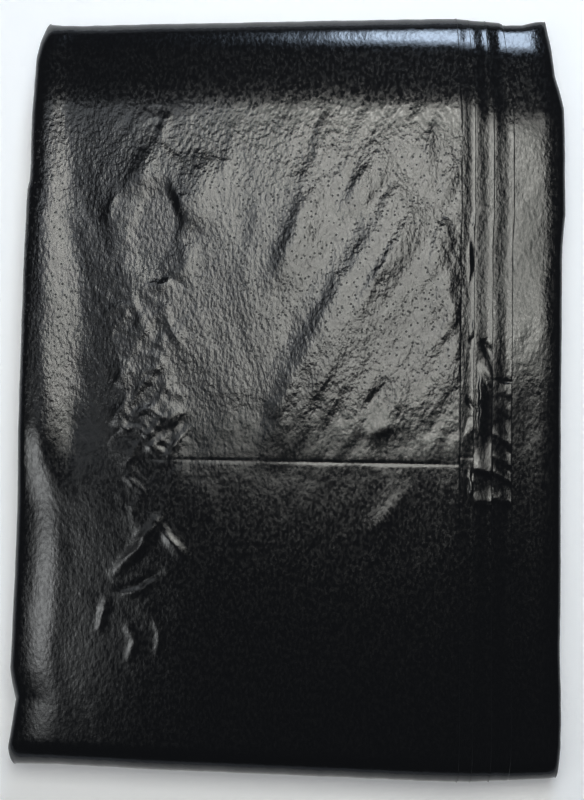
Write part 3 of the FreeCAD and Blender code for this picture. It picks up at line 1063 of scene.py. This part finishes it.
def principled(name, color, roughness, ior):
    material = bpy.data.materials.new(name)
    material.use_nodes = True
    shader = material.node_tree.nodes["Principled BSDF"]
    shader.inputs["Base Color"].default_value = (*color, 1.0)
    shader.inputs["Roughness"].default_value = roughness
    shader.inputs["IOR"].default_value = ior
    return material, material.node_tree, shader


def node(tree, kind, **settings):
    made = tree.nodes.new(kind)
    for key, value in settings.items():
        setattr(made, key, value)
    return made


def remapped(tree, source, low, high, new_low, new_high):
    made = node(tree, "ShaderNodeMapRange", interpolation_type="SMOOTHSTEP")
    made.inputs["From Min"].default_value = low
    made.inputs["From Max"].default_value = high
    made.inputs["To Min"].default_value = new_low
    made.inputs["To Max"].default_value = new_high
    tree.links.new(source, made.inputs["Value"])
    return made.outputs["Result"]


def combined(tree, operation, first, second):
    made = node(tree, "ShaderNodeMath", operation=operation)
    tree.links.new(first, made.inputs[0])
    tree.links.new(second, made.inputs[1])
    return made.outputs[0]


def noise_texture(tree, vector, scale, detail):
    made = node(tree, "ShaderNodeTexNoise")
    made.inputs["Scale"].default_value = scale
    made.inputs["Detail"].default_value = detail
    tree.links.new(vector, made.inputs["Vector"])
    return made.outputs["Fac"]


def bumped(tree, height, distance):
    made = node(tree, "ShaderNodeBump")
    made.inputs["Distance"].default_value = distance
    tree.links.new(height, made.inputs["Height"])
    return made.outputs["Normal"]


# The film is glossy black. Its leathery grain is drawn out along the sack, and a fine haze makes
# it a little smeared.
FILM_COLOR = (0.0030, 0.0030, 0.0034)
FILM_GLOSS = 0.1
FILM_IOR = 1.5
LONG_WAY = (1.0, 0.6, 1.0)
LEATHER_SCALE = 560.0
LEATHER_DETAIL = 3.0
LEATHER_HEIGHT = 0.00030
CALM_LEATHER = 0.28
HAZE_SCALE = LEATHER_SCALE * 1.3
HAZE_DETAIL = 2.0
HAZE_RANGE = (0.35, 0.65)
HAZE_ROUGHNESS = (0.08, 0.20)

# Where the film is worn, between these places in metres, it has small rough pits.
PIT_SCALE = 380.0
PIT_RIM = (0.17, 0.31)
PIT_ROUGHNESS = 0.55
WORN_FROM_Y = (-0.035, 0.015)
WORN_TO_Y = (0.115, 0.145)
STRIPS_FROM_X = (0.080, 0.088)
STRIPS_WORN = 0.3


def worn_share(tree, place):
    """How worn the film is, 0 to 1: most in the far half of the outermost sack's panel."""
    parts = node(tree, "ShaderNodeSeparateXYZ")
    tree.links.new(place, parts.inputs["Vector"])
    lower = remapped(tree, parts.outputs["Y"], *WORN_FROM_Y, 0.0, 1.0)
    upper = remapped(tree, parts.outputs["Y"], *WORN_TO_Y, 1.0, 0.0)
    left_of_strips = remapped(tree, parts.outputs["X"], *STRIPS_FROM_X, 1.0, STRIPS_WORN)
    return combined(tree, "MULTIPLY", combined(tree, "MULTIPLY", lower, upper), left_of_strips)


def film_material():
    material, tree, shader = principled("black_film", FILM_COLOR, FILM_GLOSS, FILM_IOR)
    place = node(tree, "ShaderNodeTexCoord").outputs["Object"]
    long_way = node(tree, "ShaderNodeMapping")
    long_way.inputs["Scale"].default_value = LONG_WAY
    tree.links.new(place, long_way.inputs["Vector"])
    grain = noise_texture(tree, long_way.outputs["Vector"], LEATHER_SCALE, LEATHER_DETAIL)
    haze = noise_texture(tree, long_way.outputs["Vector"], HAZE_SCALE, HAZE_DETAIL)
    pits = node(tree, "ShaderNodeTexVoronoi")
    pits.inputs["Scale"].default_value = PIT_SCALE
    tree.links.new(place, pits.inputs["Vector"])
    pit = remapped(tree, pits.outputs["Distance"], *PIT_RIM, PIT_ROUGHNESS, 0.0)
    worn = worn_share(tree, place)
    rough_pits = combined(tree, "MULTIPLY", pit, worn)
    smear = remapped(tree, haze, *HAZE_RANGE, *HAZE_ROUGHNESS)
    roughness = combined(tree, "MAXIMUM", rough_pits, smear)
    tree.links.new(roughness, shader.inputs["Roughness"])
    leather = combined(tree, "MULTIPLY", grain, remapped(tree, worn, 0.0, 1.0, CALM_LEATHER, 1.0))
    tree.links.new(bumped(tree, leather, LEATHER_HEIGHT), shader.inputs["Normal"])
    return material


FLOOR_COLOR = (0.90, 0.90, 0.90)
FLOOR_ROUGHNESS = 0.8
FLOOR_IOR = 1.3
FLOOR_GLOW = 0.20


def floor_material():
    """A pale floor that glows a little for the camera and for what mirrors it."""
    material, tree, shader = principled("pale_floor", FLOOR_COLOR, FLOOR_ROUGHNESS, FLOOR_IOR)
    ray = node(tree, "ShaderNodeLightPath").outputs
    seen = combined(tree, "MAXIMUM", ray["Is Camera Ray"], ray["Is Glossy Ray"])
    seen = combined(tree, "MAXIMUM", seen, ray["Is Transmission Ray"])
    glow = node(tree, "ShaderNodeMath", operation="MULTIPLY")
    glow.inputs[1].default_value = FLOOR_GLOW
    tree.links.new(seen, glow.inputs[0])
    shader.inputs["Emission Color"].default_value = (1.0, 1.0, 1.0, 1.0)
    tree.links.new(glow.outputs[0], shader.inputs["Emission Strength"])
    return material


# The sacks
film = film_material()
for number in range(SACK_COUNT):
    sack = mesh_object(f"film_{node_name(number)}", *sack_mesh(number))
    sack.data.materials.append(film)
    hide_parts(node_name(number))
    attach(sack, "root")

# The stage and the light
FLOOR_REACH = 3.0


def make_floor():
    mesh = bpy.data.meshes.new("floor")
    reach = FLOOR_REACH
    corners = [(-reach, -reach, 0), (reach, -reach, 0), (reach, reach, 0), (-reach, reach, 0)]
    mesh.from_pydata(corners, [], [(0, 1, 2, 3)])
    floor = bpy.data.objects.new("floor", mesh)
    bpy.context.scene.collection.objects.link(floor)
    floor.data.materials.append(floor_material())


def make_lamp(name, wide, high, radiance, color, centre):
    data = bpy.data.lights.new(name, "AREA")
    data.shape = "RECTANGLE"
    data.size = wide * MM
    data.size_y = high * MM
    data.energy = radiance * math.pi * data.size * data.size_y
    data.color = color
    thing = bpy.data.objects.new(name, data)
    thing.location = Vector(centre) * MM
    bpy.context.scene.collection.objects.link(thing)
    return thing


def ramp(tree, value, marks):
    """A brightness that follows the marks, each a place from 0 to 1 and a share."""
    made = node(tree, "ShaderNodeValToRGB")
    made.color_ramp.interpolation = "EASE"
    elements = made.color_ramp.elements
    elements[0].position = marks[0][0]
    elements[1].position = marks[-1][0]
    for place, _ in marks[1:-1]:
        elements.new(place)
    for element, (_, share) in zip(elements, marks):
        element.color = (share, share, share, 1.0)
    tree.links.new(value, made.inputs["Fac"])
    return made.outputs["Color"]


def graded(data, across, along, uneven=0.0):
    """Makes a lamp fade over its face, as a soft box does, and glow unevenly."""
    data.use_nodes = True
    tree = data.node_tree
    emission = tree.nodes["Emission"]
    place = node(tree, "ShaderNodeNewGeometry")
    parts = node(tree, "ShaderNodeSeparateXYZ")
    tree.links.new(place.outputs["Parametric"], parts.inputs["Vector"])
    both = node(tree, "ShaderNodeMix", data_type="RGBA", blend_type="MULTIPLY")
    both.inputs["Factor"].default_value = 1.0
    tree.links.new(ramp(tree, parts.outputs["X"], across), both.inputs["A"])
    tree.links.new(ramp(tree, parts.outputs["Y"], along), both.inputs["B"])
    tree.links.new(both.outputs["Result"], emission.inputs["Color"])
    if uneven:
        face = node(tree, "ShaderNodeVectorMath", operation="MULTIPLY")
        face.inputs[1].default_value = (data.size / BLOTCH, data.size_y / BLOTCH, 0.0)
        tree.links.new(place.outputs["Parametric"], face.inputs[0])
        glow = noise_texture(tree, face.outputs[0], 1.0, 0.0)
        share = remapped(tree, glow, *BLOTCH_RANGE, 1 - uneven, 1 + uneven)
        tree.links.new(share, emission.inputs["Strength"])


def stops(low, high, table):
    """The table's places as shares of the way from low to high."""
    return [((place - low) / (high - low), share) for place, share in table]


def mirrored(table):
    return [(1 - place, share) for place, share in reversed(table)]


def middle(low, high):
    return (low[0] + high[0]) / 2, (low[1] + high[1]) / 2


def hung_lamp(name, low, high, z, radiance, color, across, along, turn=0.0, uneven=0.0):
    """A soft lamp over the rectangle from low to high, looking down, turned by some degrees."""
    place = (*middle(low, high), z)
    thing = make_lamp(name, high[0] - low[0], high[1] - low[1], radiance, color, place)
    thing.rotation_euler.z = math.radians(turn)
    graded(thing.data, stops(low[0], high[0], across), stops(low[1], high[1], along), uneven)


def standing_lamp(name, low, high, centre, radiance, color, across, along):
    """A soft lamp beyond the far end, looking at the fold there. Its x runs the other way."""
    place = Vector((middle(low, high)[0], *centre))
    thing = make_lamp(name, high[0] - low[0], high[1] - low[1], radiance, color, place)
    way = Vector((place.x, LENGTH / 2, HEIGHT)) - place
    thing.rotation_euler = way.to_track_quat("-Z", "Y").to_euler()
    graded(thing.data, mirrored(stops(low[0], high[0], across)), stops(low[1], high[1], along))


# The lamps, in mm: the corners, height, radiance, colour, and the share of brightness that each
# has across and along.
BLOTCH = 0.038
BLOTCH_RANGE = (0.3, 0.7)
WARM = (1.0, 1.0, 0.94)
COOL = (0.97, 1.0, 1.0)
BLUISH = (0.88, 0.94, 1.0)
SKY_BLUE = (0.64, 0.79, 1.0)
MAIN_LOW = (-170.0, -50.0)
MAIN_HIGH = (300.0, 356.0)
MAIN_Z = 730.0
MAIN_RADIANCE = 9.0
MAIN_ACROSS = ((-165, 0.0), (-100, 0.45), (-45, 0.80), (10, 1.0), (125, 1.0), (165, 0.88),
               (235, 0.46), (295, 0.22))
MAIN_ALONG = ((-40, 0.0), (-12, 0.04), (4, 0.15), (28, 0.64), (48, 0.93), (78, 0.95), (112, 0.75),
              (160, 0.70), (220, 0.86), (270, 1.0), (352, 1.0))
MAIN_TURN = 12.0
MAIN_UNEVEN = 0.85
SIDE_LOW = (-340.0, -30.0)
SIDE_HIGH = (-60.0, 350.0)
SIDE_LAMP_Z = 732.0
SIDE_RADIANCE = 2.5
SIDE_ACROSS = ((-338, 0.5), (-250, 0.85), (-170, 1.0), (-110, 0.9), (-65, 0.0))
SIDE_ALONG = ((-28, 0.0), (40, 0.25), (140, 0.45), (240, 0.95), (332, 1.0), (348, 0.2))
LEFT_LOW = (-560.0, -340.0)
LEFT_HIGH = (-170.0, 200.0)
LEFT_Z = 734.0
LEFT_RADIANCE = 6.6
LEFT_ACROSS = ((-545, 0.1), (-480, 0.42), (-430, 0.85), (-400, 1.0), (-318, 0.95), (-299, 0.45),
               (-282, 0.22), (-250, 0.14), (-205, 0.0))
LEFT_ALONG = ((-335, 0.0), (-275, 0.12), (-250, 0.35), (-205, 0.78), (-125, 0.82), (-97, 0.58),
              (-60, 0.28), (-32, 0.06), (100, 0.04), (195, 0.0))
SKY_LOW = (-115.0, 0.0)
SKY_HIGH = (345.0, 600.0)
SKY_CENTRE = (941.0, 670.0)
SKY_RADIANCE = 21.0
SKY_ACROSS = ((-110, 0.0), (-40, 0.06), (10, 0.3), (50, 0.8), (85, 1.0), (130, 0.9), (180, 0.9),
              (290, 0.8), (342, 0.4))
SKY_ALONG = ((10, 0.0), (160, 0.35), (230, 1.0), (370, 1.0), (440, 0.35), (590, 0.0))

make_floor()
hung_lamp("main_lamp", MAIN_LOW, MAIN_HIGH, MAIN_Z, MAIN_RADIANCE, WARM, MAIN_ACROSS, MAIN_ALONG,
          MAIN_TURN, MAIN_UNEVEN)
hung_lamp("side_lamp", SIDE_LOW, SIDE_HIGH, SIDE_LAMP_Z, SIDE_RADIANCE, BLUISH, SIDE_ACROSS, SIDE_ALONG)
hung_lamp("left_lamp", LEFT_LOW, LEFT_HIGH, LEFT_Z, LEFT_RADIANCE, COOL, LEFT_ACROSS, LEFT_ALONG)
standing_lamp("sky_lamp", SKY_LOW, SKY_HIGH, SKY_CENTRE, SKY_RADIANCE, SKY_BLUE, SKY_ACROSS, SKY_ALONG)

# The room is bright near the horizon, from and to these heights of a direction, and dim above.
HORIZON = (0.16, 0.30)
HORIZON_GLOW = 0.35
SKY_GLOW = 0.08
SKY_TINT = (0.90, 1.0, 1.15)
world = bpy.data.worlds.new("world")
world.use_nodes = True
sky_way = node(world.node_tree, "ShaderNodeTexCoord")
sky_parts = node(world.node_tree, "ShaderNodeSeparateXYZ")
world.node_tree.links.new(sky_way.outputs["Generated"], sky_parts.inputs["Vector"])
glow = remapped(world.node_tree, sky_parts.outputs["Z"], *HORIZON, HORIZON_GLOW, SKY_GLOW)
tint = node(world.node_tree, "ShaderNodeVectorMath", operation="MULTIPLY")
tint.inputs[1].default_value = SKY_TINT
world.node_tree.links.new(glow, tint.inputs[0])
world.node_tree.links.new(tint.outputs[0], world.node_tree.nodes["Background"].inputs["Color"])
bpy.context.scene.world = world
bpy.context.scene.view_settings.view_transform = "Standard"
